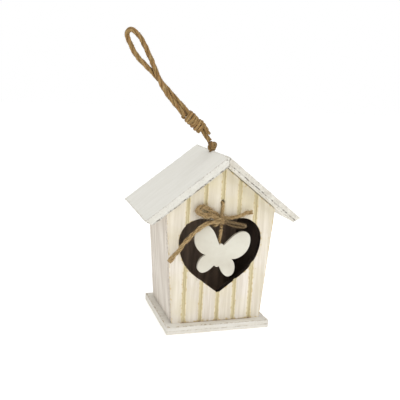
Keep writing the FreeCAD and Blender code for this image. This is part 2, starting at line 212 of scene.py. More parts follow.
def cord_laying_tree():
    """Geometry nodes that twist a three-strand cord along a line and let fibres stand off it."""
    tree = bpy.data.node_groups.new("lay_jute", "GeometryNodeTree")
    face = tree.interface
    face.new_socket("Line", in_out="INPUT", socket_type="NodeSocketGeometry")
    for label in ("Radius", "Lay", "Ring spacing", "Unevenness", "Fibres per area", "Fibre length",
                  "Fibre radius", "Darkness"):
        face.new_socket(label, in_out="INPUT", socket_type="NodeSocketFloat")
    face.new_socket("Seed", in_out="INPUT", socket_type="NodeSocketInt")
    face.new_socket("Jute", in_out="INPUT", socket_type="NodeSocketMaterial")
    face.new_socket("Cord", in_out="OUTPUT", socket_type="NodeSocketGeometry")
    given = tree.nodes.new("NodeGroupInput").outputs
    line = add(tree, "GeometryNodeMeshToCurve", {"Mesh": given["Line"]})
    rings = add(tree, "GeometryNodeResampleCurve", {"Curve": line.outputs[0],
                                                    "Length": given["Ring spacing"]}, mode="LENGTH")
    upright = add(tree, "GeometryNodeSetCurveNormal", {"Curve": rings.outputs[0]},
                  mode="MINIMUM_TWIST")
    run = add(tree, "GeometryNodeSplineParameter").outputs["Length"]
    turns = maths(tree, "DIVIDE", run, given["Lay"])
    angle = maths(tree, "MULTIPLY", turns, 2 * math.pi)
    twisted = add(tree, "GeometryNodeSetCurveTilt", {"Curve": upright.outputs[0],
                                                     "Tilt": angle})
    along = mark(tree, twisted.outputs[0], "along", run)
    # The strands' outline: three lobes with a groove between each two.
    circle = add(tree, "GeometryNodeCurvePrimitiveCircle", {"Resolution": 30, "Radius": 1.0},
                 mode="RADIUS")
    place = add(tree, "GeometryNodeInputPosition").outputs[0]
    ring = mark(tree, circle.outputs[0], "ring", place, "FLOAT_VECTOR")
    split = add(tree, "ShaderNodeSeparateXYZ", {0: place})
    bearing = maths(tree, "ARCTAN2", split.outputs[1], split.outputs[0])
    half = maths(tree, "MULTIPLY", bearing, 1.5)
    wave = maths(tree, "COSINE", half)
    lobe = maths(tree, "ABSOLUTE", wave)
    full = maths(tree, "POWER", lobe, 0.6)
    reach = ranged(tree, full, 0.0, 1.0, 0.72, 1.0)
    size = maths(tree, "MULTIPLY", reach, given["Radius"])
    strands = add(tree, "ShaderNodeVectorMath", {0: place, "Scale": size}, operation="SCALE")
    # How deep each spot lies in a groove, kept for the painted shade there.
    valley = maths(tree, "SUBTRACT", 1.0, full)
    grooved = mark(tree, ring, "groove", valley)
    outline = add(tree, "GeometryNodeSetPosition", {"Geometry": grooved,
                                                    "Position": strands.outputs[0]})
    tube = add(tree, "GeometryNodeCurveToMesh", {"Curve": along,
                                                 "Profile Curve": outline.outputs[0],
                                                 "Fill Caps": True})
    # Where each spot lies on the strand, for the fibres' colour and bump.
    ring_read = add(tree, "GeometryNodeInputNamedAttribute", {"Name": "ring"},
                    data_type="FLOAT_VECTOR")
    along_read = add(tree, "GeometryNodeInputNamedAttribute", {"Name": "along"}, data_type="FLOAT")
    round_part = add(tree, "ShaderNodeSeparateXYZ", {0: ring_read.outputs[0]})
    length_part = maths(tree, "DIVIDE", along_read.outputs[0], given["Radius"])
    lie = add(tree, "ShaderNodeCombineXYZ", {0: round_part.outputs[0], 1: round_part.outputs[1],
                                             2: length_part})
    marked = mark(tree, tube.outputs[0], "fibre", lie.outputs[0], "FLOAT_VECTOR")
    seed_shift = maths(tree, "MULTIPLY", given["Seed"], 3.7)
    shifted = add(tree, "ShaderNodeVectorMath", {0: lie.outputs[0], 1: seed_shift},
                  operation="ADD")
    stretch = add(tree, "ShaderNodeVectorMath", {0: shifted.outputs[0], 1: (1.3, 1.3, 0.45)},
                  operation="MULTIPLY")
    lumps = mottled(tree, stretch.outputs[0], 1.6, 3)
    centred = maths(tree, "SUBTRACT", lumps, 0.5)
    swell = maths(tree, "MULTIPLY", centred, given["Unevenness"])
    out_way = add(tree, "GeometryNodeInputNormal").outputs[0]
    move = add(tree, "ShaderNodeVectorMath", {0: out_way, "Scale": swell}, operation="SCALE")
    lumpy = add(tree, "GeometryNodeSetPosition", {"Geometry": marked,
                                                  "Offset": move.outputs[0]})
    smooth = add(tree, "GeometryNodeSetShadeSmooth", {"Geometry": lumpy.outputs[0],
                                                      "Shade Smooth": True})
    # Loose fibres: a bent hair of four short runs, thrown about with its own turn and length.
    hair_line = add(tree, "GeometryNodeCurveQuadraticBezier", {
        "Resolution": 4, "Start": (0, 0, -0.05), "Middle": (0.25, 0, 0.55),
        "End": (0.75, 0.1, 0.8)})
    hair_ring = add(tree, "GeometryNodeCurvePrimitiveCircle", {
        "Resolution": 3, "Radius": given["Fibre radius"]}, mode="RADIUS")
    long_size = add(tree, "ShaderNodeCombineXYZ", {0: given["Fibre length"],
                                                   1: given["Fibre length"],
                                                   2: given["Fibre length"]})
    long_line = add(tree, "GeometryNodeTransform", {"Geometry": hair_line.outputs[0],
                                                    "Scale": long_size.outputs[0]})
    hair = add(tree, "GeometryNodeCurveToMesh", {"Curve": long_line.outputs[0],
                                                 "Profile Curve": hair_ring.outputs[0],
                                                 "Fill Caps": True})
    roots = add(tree, "GeometryNodeDistributePointsOnFaces", {
        "Mesh": smooth.outputs[0], "Density": given["Fibres per area"], "Seed": given["Seed"]})
    stray = add(tree, "FunctionNodeRandomValue", {0: (-1, -1, -1), 1: (1, 1, 1),
                                                  8: given["Seed"]}, data_type="FLOAT_VECTOR")
    stray_size = add(tree, "ShaderNodeVectorMath", {0: stray.outputs[0], "Scale": 0.9},
                     operation="SCALE")
    heading = add(tree, "ShaderNodeVectorMath", {0: roots.outputs["Normal"],
                                                 1: stray_size.outputs[0]}, operation="ADD")
    turned = add(tree, "FunctionNodeRandomValue", {0: (-3, -3, -3), 1: (3, 3, 3), 8: 7},
                 data_type="FLOAT_VECTOR")
    spun = add(tree, "FunctionNodeEulerToRotation", {0: turned.outputs[0]})
    aimed = add(tree, "FunctionNodeAlignRotationToVector", {
        "Rotation": spun.outputs[0], "Vector": heading.outputs[0]}, axis="Z")
    lengths = add(tree, "FunctionNodeRandomValue", {2: 0.35, 3: 1.0, 8: 11}, data_type="FLOAT")
    fuzz = add(tree, "GeometryNodeInstanceOnPoints", {
        "Points": roots.outputs["Points"], "Instance": hair.outputs[0],
        "Rotation": aimed.outputs[0], "Scale": lengths.outputs[1]})
    single = add(tree, "GeometryNodeRealizeInstances", {0: fuzz.outputs[0]})
    joined = add(tree, "GeometryNodeJoinGeometry")
    tree.links.new(single.outputs[0], joined.inputs[0])
    tree.links.new(smooth.outputs[0], joined.inputs[0])
    toned = mark(tree, joined.outputs[0], "darkness", given["Darkness"])
    coloured = add(tree, "GeometryNodeSetMaterial", {"Geometry": toned,
                                                     "Material": given["Jute"]})
    tree.links.new(coloured.outputs[0], tree.nodes.new("NodeGroupOutput").inputs["Cord"])
    return tree


rope_jute = jute_material("rope_jute", (92, 68, 36), (170, 138, 86), (230, 204, 150),
                          (150, 96, 48))
jute_tree = cord_laying_tree()
jute_sockets = {item.name: item.identifier for item in jute_tree.interface.items_tree
                if item.in_out == "INPUT"}


def smooth_route(route):
    """The points of one smooth spline that has the route's points as its controls."""
    curve = bpy.data.curves.new("route", "CURVE")
    curve.dimensions = "3D"
    curve.resolution_u = 10
    spline = curve.splines.new("NURBS")
    spline.points.add(len(route) - 1)
    for control, point in zip(spline.points, route):
        control.co = (*point, 1)
    spline.order_u = 3
    spline.use_endpoint_u = True
    holder = bpy.data.objects.new("route", curve)
    bpy.context.collection.objects.link(holder)
    traced = bpy.data.meshes.new_from_object(
        holder.evaluated_get(bpy.context.evaluated_depsgraph_get()))
    line = [vertex.co.copy() for vertex in traced.vertices]
    bpy.data.objects.remove(holder)
    bpy.data.meshes.remove(traced)
    return line


def lay_cord(name, line, radius, lay, seed, fibres=7e5, fibre_length=1.1 * mm,
             uneven=0.35, fibre_radius=0.035 * mm, darkness=0.0, beside=(), jute=rope_jute):
    """One cord along a line of points, as a plain mesh, with any strands beside it."""
    points, joints = [], []
    for run in (line, *beside):
        joints += [(len(points) + i, len(points) + i + 1) for i in range(len(run) - 1)]
        points += [tuple(point) for point in run]
    wire = bpy.data.meshes.new(name)
    wire.from_pydata(points, joints, [])
    cord = bpy.data.objects.new(name, wire)
    bpy.context.collection.objects.link(cord)
    modifier = cord.modifiers.new("lay", "NODES")
    modifier.node_group = jute_tree
    for label, value in {"Radius": radius, "Lay": lay, "Ring spacing": radius / 5,
                         "Unevenness": radius * uneven, "Fibres per area": fibres,
                         "Fibre length": fibre_length, "Fibre radius": fibre_radius,
                         "Darkness": darkness, "Seed": seed, "Jute": jute}.items():
        modifier[jute_sockets[label]] = value
    bpy.context.view_layer.update()
    graph = bpy.context.evaluated_depsgraph_get()
    laid = bpy.data.meshes.new_from_object(cord.evaluated_get(graph), depsgraph=graph)
    cord.modifiers.remove(modifier)
    cord.data = laid
    laid.name = name
    return cord


def plies(line, count, away, turn_length, seed, splay=0.0):
    """Loose plies winding about a line, spreading apart over its last quarter."""
    found, wander_rate, seed_step = [], 160, 5.3
    for ply in range(count):
        strand, run = [], 0.0
        for i, point in enumerate(line):
            before, after = line[max(i - 1, 0)], line[min(i + 1, len(line) - 1)]
            run += (point - before).length
            ahead = (after - before).normalized()
            across = ahead.cross(Vector((0, 1, 0))).normalized()
            share = i / (len(line) - 1)
            wander = noise.noise(Vector((run * wander_rate, seed + ply * seed_step, 0)))
            angle = 2 * math.pi * (run / turn_length + ply / count) + 1.6 * wander
            last_quarter = max(0.0, share - 0.75) * 4
            reach = away * (1 + 0.7 * wander) + splay * last_quarter
            strand.append(point + across * (reach * math.cos(angle))
                          + across.cross(ahead) * (reach * math.sin(angle)))
        found.append(strand)
    return found


def middle(node):
    low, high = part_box(node)
    return (Vector(low) + Vector(high)) / 2


def jute_piece(piece, body, *stands_for):
    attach(piece, body)
    if stands_for:
        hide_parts(*stands_for)
    return piece


def knot_line(centre, reach, axis):
    """An overhand knot's path: a trefoil about an axis, closed on itself."""
    steps, thickness = 72, 1.35
    to_axis = Vector((0, 0, 1)).rotation_difference(Vector(axis))
    line = []
    for step in range(steps + 1):
        t = 2 * math.pi * step / steps
        point = Vector((math.sin(t) + 2 * math.sin(2 * t), math.cos(t) - 2 * math.cos(2 * t),
                        -math.sin(3 * t) * thickness))
        line.append(centre + to_axis @ (point * reach / 3))
    return line


rope_radius = 1.6 * mm
rope_lay = 21 * mm
hanger_route = [
    (-0.00211, 0, 0.11851), (-0.0047, 0.00015, 0.12193), (-0.008, 0, 0.12643),
    (-0.0125, 0.0003, 0.1313), (-0.0180, 0, 0.13695), (-0.0230, 0.0001, 0.14185),
    (-0.0275, 0.0005, 0.14625), (-0.0320, 0.0011, 0.15085), (-0.0374, 0.00175, 0.15653),
    (-0.0423, 0.0012, 0.16113), (-0.0469, 0.0005, 0.16493), (-0.0513, 0.0001, 0.16883),
    (-0.0544, 0, 0.17333), (-0.057, -0.0001, 0.17843), (-0.0585, 0, 0.18223),
    (-0.0563, 0.0001, 0.18493), (-0.0529, 0, 0.18383), (-0.049, -0.0001, 0.17963),
    (-0.0461, -0.0003, 0.17423), (-0.0432, -0.0006, 0.16863), (-0.0405, -0.0012, 0.16253),
    (-0.0378, -0.00175, 0.15673), (-0.0347, -0.0013, 0.15100), (-0.0304, -0.0008, 0.14560),
    (-0.0255, -0.0008, 0.14040), (-0.0198, -0.0006, 0.13430)]
hanger_line = smooth_route(hanger_route)
hanger = lay_cord("hanger_rope", hanger_line, rope_radius, rope_lay, 3, uneven=0.55,
                  darkness=0.18)
jute_piece(hanger, "hanger", "hanger_loop", "hanger_neck")

# The wound turns, tightest at the ends and fullest in the middle. Their reach from their
# middle line, the room left at each end and the winding's length are in millimetres.
wrap_reach, wrap_room, wrap_length = 2.55, 1.55, 16.6
wrap_start, wrap_end = Vector((-0.0073, 0, 0.12558)), Vector((-0.0199, 0, 0.13638))
wrap_turns = 5.0
wrap_axis = (wrap_end - wrap_start).normalized()
wrap_side = wrap_axis.cross(Vector((0, 1, 0))).normalized()
wrap_line = []
wrap_steps = int(wrap_turns * 24)
for step in range(wrap_steps + 1):
    share = step / wrap_steps
    turn = 2 * math.pi * wrap_turns * share
    swing = (wrap_reach + 0.20 * math.sin(math.pi * share) + 0.08 * math.sin(turn * 2.3)) * mm
    along = (wrap_room + share * (wrap_length - 2 * wrap_room) + 0.25 * math.sin(turn * 1.7)) * mm
    wrap_line.append(wrap_start + wrap_axis * along + wrap_side * (swing * math.cos(turn))
                     - Vector((0, 1, 0)) * (swing * math.sin(turn)))
wraps = lay_cord("hanger_turns", wrap_line, 1.45 * mm, 60 * mm, 5, uneven=0.25, darkness=0.08,
                 fibres=4e5)
jute_piece(wraps, "hanger", "hanger_wraps")

tag_route = [
    (-0.0093, -0.0030, 0.1310), (-0.0072, -0.0026, 0.1286), (-0.0054, -0.0022, 0.1262),
    (-0.0043, -0.0021, 0.1246), (-0.0035, -0.0021, 0.1231)]
tag_line = smooth_route(tag_route)
tag_plies = plies(tag_line, 3, 0.55 * mm, 9 * mm, 4, splay=0.1 * mm)
tag = lay_cord("hanger_cut_end", tag_plies[0], 0.82 * mm, 7 * mm, 9, fibres=3e6,
               fibre_length=0.8 * mm, uneven=0.8, darkness=0.08, beside=tag_plies[1:])
jute_piece(tag, "hanger", "hanger_tag_end")

# The knot is pulled down a little onto the mitre.
knot_centre = middle("ridge_knot") - Vector((0, 0, 0.4 * mm))
ridge_knot = lay_cord("ridge_knot_rope", knot_line(knot_centre, 1.95 * mm, (0.5, -1, 0.35)),
                      1.8 * mm, 12 * mm, 13, darkness=0.34)
jute_piece(ridge_knot, "ridge_knot", "ridge_knot")

# Inside the roof: the strand through the ridge's hole and the knot that stops it.
strand_low, strand_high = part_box("hanger_ridge_strand")
strand_foot = Vector((0, 0, strand_low[2] - 1.5 * mm))
strand_steps = 12
strand_line = [strand_foot + Vector((0, 0, (strand_high[2] - strand_foot.z) * i / strand_steps))
               for i in range(strand_steps + 1)]
strand = lay_cord("ridge_strand_rope", strand_line, 1.55 * mm, rope_lay, 17, fibres=2e5)
jute_piece(strand, "house", "hanger_ridge_strand")
stop_line = knot_line(middle("hanger_stop_knot"), 1.75 * mm, (1, 0.3, 0.4))
stop_knot = lay_cord("stop_knot_rope", stop_line, 1.4 * mm, 8 * mm, 19, fibres=2e5)
jute_piece(stop_knot, "house", "hanger_stop_knot")


# --- Twine, bow and what the butterfly hangs on ---------------------------------------
# 2 mm jute twine runs out through a small hole, round the strip above the heart,
# and is tied there in a loose bow with frayed tails.
twine_jute = jute_material("twine_jute", (100, 80, 50), (184, 157, 110), (240, 220, 176),
                           (166, 126, 80))
lay_twine = partial(lay_cord, jute=twine_jute)
twine_radius = 0.92 * mm
binding_route = [
    (-0.0006, -0.0279, 0.0732), (-0.00045, -0.0275, 0.0761), (-0.00035, -0.0275, 0.079),
    (0, -0.0275, 0.083), (-0.0001, -0.0215, 0.0829), (-0.0009, -0.0213, 0.0789),
    (-0.003, -0.0214, 0.075), (-0.0049, -0.0215, 0.0706), (-0.0052, -0.0237, 0.0681),
    (-0.0043, -0.0268, 0.0682), (-0.0027, -0.0281, 0.0702), (-0.0017, -0.0289, 0.0729)]
left_loop_route = [
    (-0.0015, -0.0299, 0.0731), (-0.0056, -0.0303, 0.0751), (-0.01, -0.0305, 0.0754),
    (-0.0144, -0.0304, 0.0759), (-0.0175, -0.0301, 0.0782), (-0.0173, -0.0297, 0.0809),
    (-0.0145, -0.0293, 0.0818), (-0.011, -0.0289, 0.0806), (-0.0086, -0.0286, 0.0787),
    (-0.0056, -0.0284, 0.0767), (-0.0019, -0.0283, 0.0738)]
left_tail_route = [
    (-0.0018, -0.0293, 0.0723), (-0.0063, -0.0302, 0.0718), (-0.0111, -0.0305, 0.0705),
    (-0.016, -0.0313, 0.0683), (-0.0208, -0.0319, 0.0643), (-0.025, -0.032, 0.0593),
    (-0.0292, -0.0318, 0.0541), (-0.0343, -0.031, 0.0473)]
right_loop_route = [
    (-0.0007, -0.0299, 0.0722), (0.003, -0.0305, 0.0715), (0.0064, -0.031, 0.0711),
    (0.0105, -0.0315, 0.0702), (0.0145, -0.0317, 0.0692), (0.0141, -0.0298, 0.0674),
    (0.0102, -0.0293, 0.0679), (0.0068, -0.029, 0.0685), (0.0038, -0.0287, 0.0695),
    (-0.0008, -0.0283, 0.0718)]
right_tail_route = [
    (-0.0008, -0.029, 0.0735), (0.0028, -0.0288, 0.0735), (0.006, -0.0291, 0.0736),
    (0.0097, -0.0298, 0.0748), (0.0137, -0.0303, 0.0765), (0.0184, -0.0304, 0.0779)]
drop_route = [
    (-0.00055, -0.0277, 0.06648), (-0.00055, -0.0272, 0.0632), (-0.00065, -0.02583, 0.0597),
    (-0.00065, -0.02553, 0.0562), (-0.00055, -0.0255, 0.0525)]

binding_line = smooth_route(binding_route)
binding = lay_twine("strip_binding", binding_line, twine_radius, 6 * mm, 23,
                    fibres=6e5, fibre_length=0.8 * mm)
jute_piece(binding, "house", "binding_twine")
left_loop_line = smooth_route(left_loop_route)
# A finer strand lies inside the left loop, just over half its size.
loop_middle, inner_shift = Vector((-0.0142, -0.0300, 0.0786)), Vector((0.0004, -0.0006, 0.0001))
inner_loop = [loop_middle + (point - loop_middle) * 0.55 + inner_shift for point in left_loop_line]
left_loop = lay_twine("bow_loop_left", left_loop_line, twine_radius, 9 * mm, 29, fibres=1.5e6,
                      fibre_length=1.6 * mm, uneven=0.6)
jute_piece(left_loop, "house", "bow_left_loop")
combed = plies(left_loop_line, 2, 1.0 * mm, 11 * mm, 8)
fluff = lay_twine("bow_loop_left_fluff", inner_loop, 0.6 * mm, 7 * mm, 30, fibres=2.5e6,
                  fibre_length=2.2 * mm, uneven=0.9, fibre_radius=0.035 * mm, beside=combed)
jute_piece(fluff, "house")
left_tail_line = smooth_route(left_tail_route)
left_plies = plies(left_tail_line, 3, 0.72 * mm, 26 * mm, 2, splay=0.1 * mm)
left_tail = lay_twine("bow_tail_left", left_plies[0], 0.72 * mm, 9 * mm, 31, fibres=1.5e6,
                      fibre_length=1.1 * mm, uneven=0.6, beside=left_plies[1:])
jute_piece(left_tail, "house", "bow_left_tail")
right_loop_line = smooth_route(right_loop_route)
# Its darkness is painted shade, as if the loop hung in the shadow under the heart's top edge.
right_loop = lay_twine("bow_loop_right", right_loop_line, 0.85 * mm, 9 * mm, 37, fibres=2.5e6,
                       fibre_length=1.4 * mm, uneven=0.7, darkness=0.62)
jute_piece(right_loop, "house", "bow_right_loop")
right_plies = plies(smooth_route(right_tail_route), 3, 0.6 * mm, 22 * mm, 6, splay=0.45 * mm)
right_tail = lay_twine("bow_tail_right", right_plies[0], 0.66 * mm, 9 * mm, 41, fibres=2.2e6,
                       fibre_length=1.6 * mm, uneven=0.7, beside=right_plies[1:])
jute_piece(right_tail, "house", "bow_right_tail")
drop = lay_twine("butterfly_cord", smooth_route(drop_route), 1.05 * mm, 9 * mm, 43, fibres=1.6e6,
                 fibre_length=1.2 * mm, uneven=0.5)
jute_piece(drop, "butterfly_twine", "butterfly_twine")

# The knot: two turns of twine pulled down over the crossed loops.
bow_centre = middle("bow_knot")
knot_turns, knot_wraps, knot_steps = [], 2.1, 60
for step in range(knot_steps + 1):
    turn = 2 * math.pi * knot_wraps * step / knot_steps - 0.6
    knot_turns.append(bow_centre + Vector(((-0.8 + 1.8 * step / knot_steps) * mm,
                                           -1.5 * mm * math.cos(turn), 2.2 * mm * math.sin(turn))))
bow_knot = lay_twine("bow_knot_twine", knot_turns, 0.9 * mm, 9 * mm, 47, fibres=4e6,
                     fibre_length=2.0 * mm, uneven=0.6)
jute_piece(bow_knot, "house", "bow_knot")

# Wisps that have pulled out of the twine where it was tied.
scatter = random.Random(4)
wisps, wisp_count, wisp_steps = [], 26, 8
for _ in range(wisp_count):
    root = bow_centre + Vector((scatter.uniform(-2, 2), scatter.uniform(-1.6, -0.6),
                                scatter.uniform(-0.8, 2))) * mm
    tip = root + Vector((scatter.uniform(-6, 5), scatter.uniform(-1.2, 0.6),
                         scatter.uniform(-1.4, 3))) * mm
    bow_out = Vector((scatter.uniform(-1, 1), scatter.uniform(-0.8, 0),
                      scatter.uniform(-1, 1.6))) * mm
    wisps.append([root.lerp(tip, step / wisp_steps)
                  + bow_out * math.sin(math.pi * step / wisp_steps)
                  for step in range(wisp_steps + 1)])
tuft = lay_twine("bow_wisps", wisps[0], 0.10 * mm, 4 * mm, 59, fibres=2e6, fibre_length=1.2 * mm,
                 uneven=0.5, fibre_radius=0.03 * mm, beside=wisps[1:])
jute_piece(tuft, "house")
hitch = lay_twine("hitch_twine", knot_line(middle("twine_hitch"), 0.62 * mm, (1, 0, 0.3)),
                  0.62 * mm, 4 * mm, 53, fibres=8e5, fibre_length=0.7 * mm)
jute_piece(hitch, "twine_hitch", "twine_hitch")


# --- Base -----------------------------------------------------------------------------
# A plain rectangle of birch plywood, wider than the house all round, sawn, sanded and
# painted white by hand. The paint is rubbed through along its softly rounded arrises,
# and a dark glue line shows about halfway up its sawn edges.
def brushed_grain_group():
    """Long streaks of brush and grain: a slow one and a fine one."""
    group = bpy.data.node_groups.new("brushed_grain", "ShaderNodeTree")
    face = group.interface
    face.new_socket("Vector", in_out="INPUT", socket_type="NodeSocketVector")
    face.new_socket("Squeeze", in_out="INPUT", socket_type="NodeSocketVector")
    face.new_socket("Slow", in_out="OUTPUT", socket_type="NodeSocketFloat")
    face.new_socket("Fine", in_out="OUTPUT", socket_type="NodeSocketFloat")
    given = group.nodes.new("NodeGroupInput").outputs
    leave = group.nodes.new("NodeGroupOutput").inputs
    drawn = add(group, "ShaderNodeVectorMath", {0: given["Vector"], 1: given["Squeeze"]},
                operation="MULTIPLY")
    slow = mottled(group, drawn.outputs[0], 1.0, 3, 0.55)
    fine = mottled(group, drawn.outputs[0], 4.5, 4, 0.7)
    group.links.new(slow, leave["Slow"])
    group.links.new(fine, leave["Fine"])
    return group


def rubbed_edge_group():
    """Where the paint is worn through: near an arris, and in specks."""
    group = bpy.data.node_groups.new("rubbed_edge", "ShaderNodeTree")
    face = group.interface
    face.new_socket("Vector", in_out="INPUT", socket_type="NodeSocketVector")
    face.new_socket("Speck scale", in_out="INPUT", socket_type="NodeSocketFloat")
    face.new_socket("Amount", in_out="INPUT", socket_type="NodeSocketFloat")
    face.new_socket("Worn", in_out="OUTPUT", socket_type="NodeSocketFloat")
    given = group.nodes.new("NodeGroupInput").outputs
    leave = group.nodes.new("NodeGroupOutput").inputs
    arris = add(group, "ShaderNodeAttribute", attribute_name="arris")
    specks = mottled(group, given["Vector"], given["Speck scale"], 4, 0.6)
    near = maths(group, "MULTIPLY", arris.outputs["Fac"], given["Amount"])
    both = maths(group, "ADD", near, specks)
    worn = ranged(group, both, 0.74, 0.86)
    group.links.new(worn, leave["Worn"])
    return group


grain_group = brushed_grain_group()
rubbed_group = rubbed_edge_group()


def paint_start(name):
    made = bpy.data.materials.new(name)
    made.use_nodes = True
    tree = made.node_tree
    place = add(tree, "ShaderNodeTexCoord").outputs["Object"]
    return made, tree, tree.nodes["Principled BSDF"], place


def grain(tree, place, squeeze):
    made = add(tree, "ShaderNodeGroup", node_tree=grain_group)
    tree.links.new(place, made.inputs["Vector"])
    made.inputs["Squeeze"].default_value = squeeze
    return made.outputs


def finish_paint(tree, shader, colour, height, strength, depth, roughness):
    bump = add(tree, "ShaderNodeBump", {"Height": height, "Strength": strength, "Distance": depth})
    tree.links.new(colour, shader.inputs["Base Color"])
    tree.links.new(bump.outputs[0], shader.inputs["Normal"])
    tree.links.new(roughness, shader.inputs["Roughness"])
    shader.inputs["Specular IOR Level"].default_value = 0.25


def rubbed(tree, place, scale, amount):
    made = add(tree, "ShaderNodeGroup", {"Speck scale": scale, "Amount": amount},
               node_tree=rubbed_group)
    tree.links.new(place, made.inputs["Vector"])
    return made.outputs["Worn"]


def flat_white(name, squeeze, light, dark, wood, wear):
    """Chalky paint brushed one way, worn to grey-brown wood at the arrises."""
    made, tree, shader, place = paint_start(name)
    streaks = grain(tree, place, squeeze)
    tint = ranged(tree, streaks["Slow"], 0.38, 0.64)
    colour = blend(tree, tint, srgb(*dark), srgb(*light))
    hair = ranged(tree, streaks["Fine"], 0.58, 0.80, 0.0, 0.35)
    colour = blend(tree, hair, colour, srgb(*wood))
    colour = blend(tree, rubbed(tree, place, 700, wear), colour, srgb(*wood))
    finish_paint(tree, shader, colour, streaks["Fine"], 0.35, 0.2 * mm,
                 ranged(tree, streaks["Slow"], 0.2, 0.8, 0.62, 0.82))
    return made


def sawn_edge(name, depth_of, light, dark, speck, line_depth, line_width, squeeze, wear,
              mottling):
    """A painted plywood edge: the plies show as a broken dark line and rough fibres."""
    made, tree, shader, place = paint_start(name)
    streaks = grain(tree, place, squeeze)
    colour = blend(tree, ranged(tree, streaks["Slow"], 0.33, 0.68), srgb(*dark), srgb(*light))
    depth = depth_of(tree, place)
    off_line = maths(tree, "SUBTRACT", depth, line_depth)
    sway = 1.2 * mm
    wander = maths(tree, "MULTIPLY", streaks["Slow"], sway)
    shifted = maths(tree, "ADD", off_line, wander)
    centred = maths(tree, "SUBTRACT", shifted, sway / 2)
    away = maths(tree, "ABSOLUTE", centred)
    on_line = ranged(tree, away, 0.0, line_width, 1.0, 0.0)
    gaps = mottled(tree, place, 420, 3, 0.65)
    broken = maths(tree, "MULTIPLY", on_line, ranged(tree, gaps, 0.47, 0.57))
    faint = maths(tree, "MULTIPLY", on_line, 0.22)
    line = maths(tree, "MAXIMUM", broken, faint)
    colour = blend(tree, line, colour, srgb(*speck))
    colour = blend(tree, rubbed(tree, place, 800, wear), colour, srgb(*speck))
    mottle = mottled(tree, place, 1100, 4, 0.7)
    colour = blend(tree, ranged(tree, mottle, 0.50, 0.66, 0.0, mottling), colour,
                   blend(tree, 0.5, srgb(*dark), srgb(*speck)))
    rough_fibre = maths(tree, "SUBTRACT", mottle, line)
    finish_paint(tree, shader, colour, rough_fibre, 0.7, 0.4 * mm,
                 ranged(tree, streaks["Slow"], 0.2, 0.8, 0.7, 0.9))
    return made


def darkened_wood(name, dark, light):
    """Dark brown wood, its grain showing: stained on the heart's cut edge, and bare wood painted
    darker as shade inside the house.
    """
    made, tree, shader, place = paint_start(name)
    streaks = grain(tree, place, (260, 260, 30))
    colour = blend(tree, ranged(tree, streaks["Slow"], 0.3, 0.7), srgb(*dark), srgb(*light))
    colour = blend(tree, ranged(tree, streaks["Fine"], 0.6, 0.8, 0.0, 0.5), colour, srgb(*dark))
    finish_paint(tree, shader, colour, streaks["Fine"], 0.3, 0.2 * mm,
                 ranged(tree, streaks["Slow"], 0.2, 0.8, 0.45, 0.65))
    return made


# Painted shade: the bare wood inside the house is coloured darker, as the shade in there.
inside_wood_shaded = darkened_wood("inside_wood_shaded", (132, 112, 96), (186, 162, 140))


def merged_copy(node):
    """A CAD piece's mesh, its loose triangles joined and its flat faces made whole."""
    merged = bmesh.new()
    merged.from_mesh(nodes[node].data)
    bmesh.ops.remove_doubles(merged, verts=merged.verts, dist=0.002 * mm)
    bmesh.ops.dissolve_limit(merged, angle_limit=math.radians(0.6), verts=merged.verts[:],
                             edges=merged.edges[:])
    return merged


def wooden_piece(name, shape, paints, sharp):
    """The finished piece. Edges sharper than the angle, in degrees, stay crisp."""
    mesh = bpy.data.meshes.new(name)
    shape.to_mesh(mesh)
    shape.free()
    for paint in paints:
        mesh.materials.append(paint)
    mesh.set_sharp_from_angle(angle=math.radians(sharp))
    piece = bpy.data.objects.new(name, mesh)
    bpy.context.collection.objects.link(piece)
    return piece


def cut_board(name, node, spacing, rounding, chip, choose, paints):
    """A board's own mesh from its CAD piece: arrises rounded, faces divided, edges chipped.

    choose gives each face the number of its paint from its middle and its normal."""
    shortest_arris, least_bend, worn_reach = 0.55 * mm, math.radians(25), 0.8 * mm
    board = merged_copy(node)
    arrises = [edge for edge in board.edges
               if len(edge.link_faces) == 2 and edge.calc_length() > shortest_arris
               and edge.calc_face_angle(0) > least_bend]
    segments = np.array([[tuple(v.co) for v in edge.verts] for edge in arrises])
    bmesh.ops.bevel(board, geom=arrises, offset=rounding, offset_type="OFFSET", segments=2,
                    profile=0.6, affect="EDGES", clamp_overlap=True)
    low, high = (np.array(corner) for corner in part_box(node))
    for axis in range(3):
        span = high[axis] - low[axis]
        cuts = int(span / spacing)
        for step in range(1, cuts):
            place, normal = [0, 0, 0], [0, 0, 0]
            place[axis] = low[axis] + span * step / cuts
            normal[axis] = 1
            bmesh.ops.bisect_plane(board, geom=board.verts[:] + board.edges[:] + board.faces[:],
                                   plane_co=place, plane_no=normal, dist=1e-6)
    board.normal_update()
    for face in board.faces:
        face.material_index = choose(face.calc_center_median(), face.normal)
        face.smooth = True
    # How near each spot is to an arris, for the chips there and for the paint rubbed off.
    wear = board.verts.layers.float.new("arris")
    spots = np.array([tuple(v.co) for v in board.verts])
    reach = np.full(len(spots), 1.0)
    for start, end in segments:
        along = end - start
        share = np.clip((spots - start) @ along / (along @ along), 0, 1)
        reach = np.minimum(reach, np.linalg.norm(spots - start - share[:, None] * along, axis=1))
    for vertex, distance in zip(board.verts, reach):
        near = math.exp(-distance / worn_reach)
        vertex[wear] = near
        rough = noise.noise(vertex.co * 900) * 0.6 + noise.noise(vertex.co * 260)
        wave = noise.noise(vertex.co * 60) * 0.05 * mm
        vertex.co += vertex.normal * (min(0.0, rough - 0.1) * chip * near + min(wave, 0))
    piece = wooden_piece(name, board, paints, sharp=50)
    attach(piece, "house")
    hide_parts(node)
    return piece


front_low, front_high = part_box("front_panel")
back_low, back_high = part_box("back_panel")
# From the front panel's widest reach in to the side walls' inner faces at the base.
flare_and_wall = 11 * mm


def depth_in_base(tree, place):
    return add(tree, "ShaderNodeSeparateXYZ", {0: place}).outputs["Z"]


